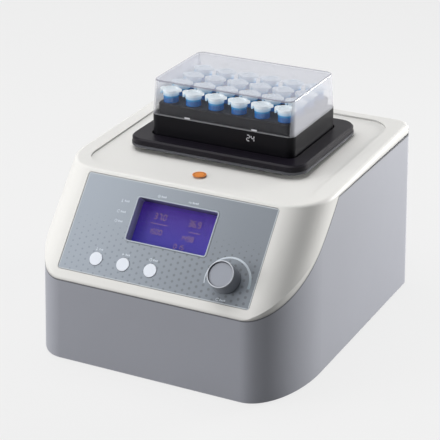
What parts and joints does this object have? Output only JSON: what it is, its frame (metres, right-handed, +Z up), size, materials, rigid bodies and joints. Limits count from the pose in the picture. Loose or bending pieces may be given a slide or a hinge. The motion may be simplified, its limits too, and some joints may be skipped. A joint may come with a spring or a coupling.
{
  "type": "thermal mixer",
  "caption": "Bench thermal mixer: heated tube block under a clear lid on an orbiting platform, sloping panel with display, buttons and knob.",
  "frame": {"origin": "on the bench, under the middle of the instrument", "axes": "+Z up, -Y the front with the control panel, +X to the right as seen from the front"},
  "size_m": [0.2324, 0.2681, 0.2],
  "materials": {
    "housing_grey": "moulded, fine texture",
    "cover_white": "moulded, satin",
    "steel_sheet": "zinc plated",
    "rubber": "matt",
    "screw_steel": "plain",
    "overlay_grey": "printed film",
    "bezel_grey": "satin",
    "display_glass": "clear",
    "display_violet": "lit display",
    "board_green": "solder resist",
    "black_plastic": "moulded",
    "aluminium": "machined",
    "black_paint": "black enamel",
    "brass": "machined",
    "foam": "insulating felt",
    "bush_plastic": "natural",
    "base_grey": "bead blasted",
    "platform_black": "black, satin",
    "block_black": "black anodised",
    "sample_blue": "clear tube with blue liquid",
    "cap_clear": "translucent",
    "lid_clear": "clear",
    "button_white": "satin",
    "knob_grey": "satin",
    "knob_face": "satin",
    "rocker_black": "glossy"
  },
  "bodies": {
    "root": {"lower_housing": "housing_grey", "top_cover": "cover_white", "bottom_plate": "steel_sheet", "rubber_feet": "rubber", "case_screws": "screw_steel", "control_overlay": "overlay_grey", "lcd_bezel": "bezel_grey", "lcd_window": "display_glass", "lcd_module": "display_violet", "control_board": "board_green", "board_screws": "screw_steel", "button_switches": "black_plastic", "encoder_body": "aluminium", "supply_board": "board_green", "supply_components": "black_plastic", "driver_board": "board_green", "board_spacers": "screw_steel", "bridge_plate": "steel_sheet", "bridge_pillars": "steel_sheet", "bridge_screws": "screw_steel", "drive_motor": "black_paint", "motor_screws": "screw_steel", "idler_housings": "aluminium", "power_inlet": "black_plastic", "inlet_pins": "brass", "switch_frame": "black_plastic", "fan_frame": "black_plastic", "fan_guard": "black_paint", "fan_screws": "screw_steel"},
    "drive": {"motor_shaft": "screw_steel", "eccentric_hub": "aluminium", "counterweight": "brass"},
    "platform": {"platform_carrier": "aluminium", "carrier_bearing": "screw_steel", "carrier_posts": "screw_steel", "insulation_pad": "foam", "insulating_bushes": "bush_plastic", "heater_plate": "aluminium", "stage_screws": "screw_steel", "temperature_sensor": "screw_steel", "platform_base": "base_grey", "platform_cover": "platform_black"},
    "idler_left": {"idler_crank_left": "screw_steel"},
    "idler_right": {"idler_crank_right": "screw_steel"},
    "block": {"tube_block": "block_black"},
    "tubes": {"sample_tubes": "sample_blue", "tube_caps": "cap_clear"},
    "lid": {"clear_lid": "lid_clear"},
    "button_left": {"button_1": "button_white"},
    "button_middle": {"button_2": "button_white"},
    "button_right": {"button_3": "button_white"},
    "encoder_push": {"encoder_slider": "black_plastic"},
    "knob": {"encoder_shaft": "aluminium", "knob": "knob_grey", "knob_disc": "knob_face"},
    "rocker": {"power_rocker": "rocker_black"},
    "fuse_drawer": {"fuse_drawer": "black_plastic", "fuses": "display_glass"},
    "fan": {"fan_rotor": "black_plastic"}
  },
  "joints": [
    {"name": "drive_spin", "type": "hinge", "parent": "root", "child": "drive", "pos_m": [-0.0015, 0.0358, 0.1], "axis": [0, 0, 1], "continuous": true},
    {"name": "platform_orbit", "type": "hinge", "parent": "drive", "child": "platform", "pos_m": [0, 0.0358, 0.118], "axis": [0, 0, 1], "continuous": true},
    {"name": "idler_left_spin", "type": "hinge", "parent": "root", "child": "idler_left", "pos_m": [-0.0575, 0.0358, 0.1], "axis": [0, 0, 1], "continuous": true},
    {"name": "idler_right_spin", "type": "hinge", "parent": "root", "child": "idler_right", "pos_m": [0.0545, 0.0358, 0.1], "axis": [0, 0, 1], "continuous": true},
    {"name": "block_lift", "type": "slide", "parent": "platform", "child": "block", "axis": [0, 0, 1], "range_m": [0, 0.05]},
    {"name": "tubes_lift", "type": "slide", "parent": "block", "child": "tubes", "axis": [0, 0, 1], "range_m": [0, 0.045]},
    {"name": "lid_lift", "type": "slide", "parent": "tubes", "child": "lid", "axis": [0, 0, 1], "range_m": [0, 0.06]},
    {"name": "button_left_press", "type": "slide", "parent": "root", "child": "button_left", "axis": [0, 0.757, -0.6534], "range_m": [0, 0.0007], "stiffness_N_per_m": 900},
    {"name": "button_middle_press", "type": "slide", "parent": "root", "child": "button_middle", "axis": [0, 0.757, -0.6534], "range_m": [0, 0.0007], "stiffness_N_per_m": 900},
    {"name": "button_right_press", "type": "slide", "parent": "root", "child": "button_right", "axis": [0, 0.757, -0.6534], "range_m": [0, 0.0007], "stiffness_N_per_m": 900},
    {"name": "knob_press", "type": "slide", "parent": "root", "child": "encoder_push", "axis": [0, 0.757, -0.6534], "range_m": [0, 0.0006], "stiffness_N_per_m": 2500},
    {"name": "knob_turn", "type": "hinge", "parent": "encoder_push", "child": "knob", "pos_m": [0.0587, -0.11331, 0.09262], "axis": [0, -0.757, 0.6534], "continuous": true},
    {"name": "rocker_tip", "type": "hinge", "parent": "root", "child": "rocker", "pos_m": [-0.066, 0.1314, 0.088], "axis": [-1, 0, 0], "range_deg": [0, 20]},
    {"name": "fuse_drawer_pull", "type": "slide", "parent": "root", "child": "fuse_drawer", "axis": [0, 1, 0], "range_m": [0, 0.016]},
    {"name": "fan_spin", "type": "hinge", "parent": "root", "child": "fan", "pos_m": [0.046, 0.122, 0.066], "axis": [0, 1, 0], "continuous": true}
  ],
  "couplings": [
    {"joint": "platform_orbit", "follows": "drive_spin", "ratio": -1},
    {"joint": "idler_left_spin", "follows": "drive_spin", "ratio": 1},
    {"joint": "idler_right_spin", "follows": "drive_spin", "ratio": 1}
  ]
}
